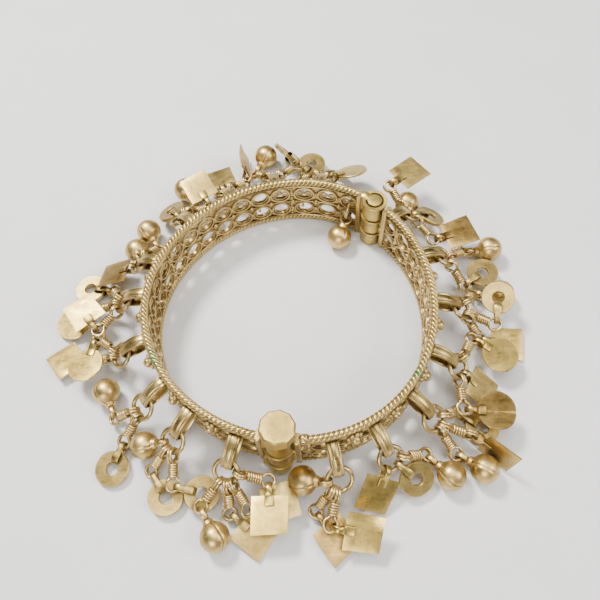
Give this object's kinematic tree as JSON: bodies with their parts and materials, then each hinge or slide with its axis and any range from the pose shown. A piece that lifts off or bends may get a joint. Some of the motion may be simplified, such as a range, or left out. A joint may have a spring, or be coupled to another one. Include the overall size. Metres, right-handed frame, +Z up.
{
  "type": "hinged charm bangle",
  "caption": "Hinged bangle with a pierced wall between twisted rope edges, a pull-out clasp pin, and ball, square, disc and washer charms hung all round on jump rings and wrapped links.",
  "frame": {"origin": "the middle of the wrist opening, on the plane that the bangle's lower edge rests on", "axes": "+Z up along the wrist, out of the upper edge; the clasp is near -Y and the hinge is near +X +Y"},
  "size_m": [0.113, 0.1085, 0.0192],
  "materials": {
    "silver": "antique silver with a warm, worn sheen",
    "worn_silver": "darker antique silver wire, rubbed bright on the high sides",
    "bright_silver": "silver polished by handling"
  },
  "bodies": {
    "long_side": {"long_half": "silver", "hinge_pin": "worn_silver", "long_rings": "worn_silver", "long_links": "worn_silver", "inner_ball_charm": "silver", "disc_charm_01": "silver", "washer_charm_02": "silver", "washer_charm_03": "silver", "ball_charm_04": "silver", "washer_charm_05": "silver", "square_charm_06": "silver", "square_charm_07": "silver", "square_charm_08": "silver", "ball_charm_09": "silver", "washer_charm_10": "silver", "ball_charm_11": "silver", "ball_charm_12": "silver", "square_charm_13": "silver", "washer_charm_14": "silver", "disc_charm_15": "silver", "square_charm_16": "silver", "diamond_charm_17": "silver", "disc_charm_18": "silver", "ball_charm_19": "silver", "washer_charm_20": "silver", "ball_charm_21": "silver", "washer_charm_22": "silver", "washer_charm_23": "silver", "ball_charm_24": "silver", "square_charm_25": "silver", "square_charm_26": "silver", "square_charm_27": "silver"},
    "short_side": {"short_half": "silver", "short_rings": "worn_silver", "short_links": "worn_silver", "ball_charm_28": "silver", "square_charm_29": "silver", "square_charm_30": "silver", "square_charm_31": "silver", "washer_charm_32": "silver", "ball_charm_33": "silver", "ball_charm_34": "silver", "square_charm_35": "silver", "washer_charm_36": "silver", "disc_charm_37": "silver", "square_charm_38": "silver", "disc_charm_39": "silver", "square_charm_40": "silver", "washer_charm_41": "silver", "ball_charm_42": "silver", "washer_charm_43": "silver", "ball_charm_44": "silver", "square_charm_45": "silver", "washer_charm_46": "silver", "ball_charm_47": "silver", "square_charm_48": "silver"},
    "clasp_pin_body": {"clasp_pin": "bright_silver"}
  },
  "joints": [
    {"name": "hinge", "type": "hinge", "parent": "long_side", "child": "short_side", "pos_m": [0.02161, 0.02414, 0], "axis": [0, 0, 1], "range_deg": [0, 40]},
    {"name": "clasp_pin_pull", "type": "slide", "parent": "long_side", "child": "clasp_pin_body", "axis": [0.0257, 0.1456, 0.989], "range_m": [0, 0.006]}
  ]
}
